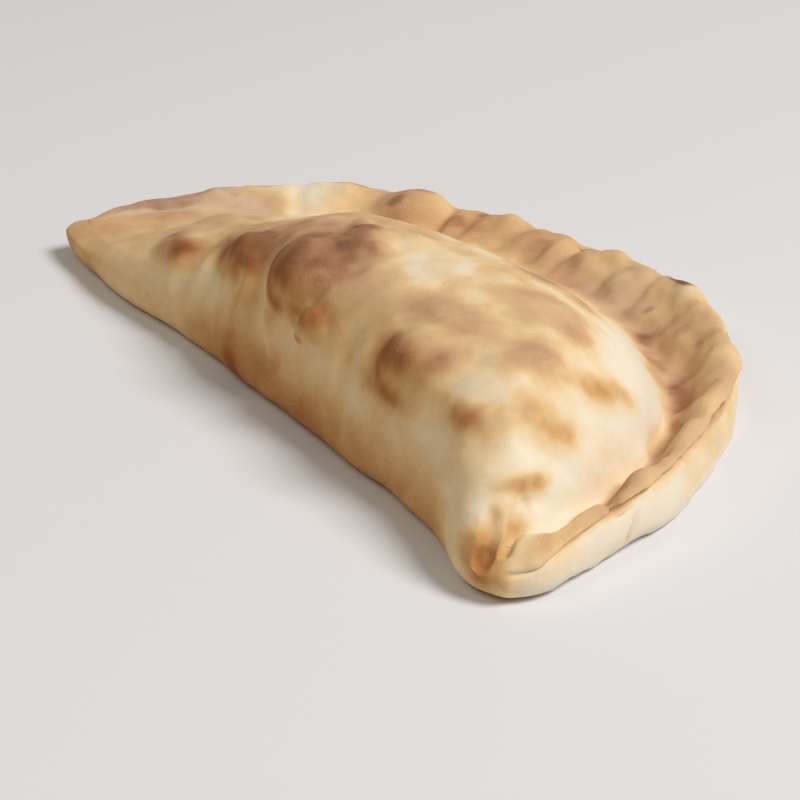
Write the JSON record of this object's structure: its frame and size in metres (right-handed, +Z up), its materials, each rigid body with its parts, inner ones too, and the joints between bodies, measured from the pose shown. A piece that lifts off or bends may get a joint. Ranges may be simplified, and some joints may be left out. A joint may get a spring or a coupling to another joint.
{
  "type": "calzone",
  "caption": "Half-moon baked calzone: stuffed pizza dough folded in half, puffed and blistered over the filling, with a crimped rim round its curved edge.",
  "frame": {"origin": "middle of the outline on the flat underside", "axes": "+X along the straight fold towards the blunt front tip, +Y from the fold towards the curved crimped rim, +Z up"},
  "size_m": [0.2998, 0.1552, 0.0548],
  "materials": {
    "baked_dough": "matt baked crust with a light dusting of flour"
  },
  "bodies": {
    "root": {"calzone": "baked_dough"}
  },
  "joints": []
}
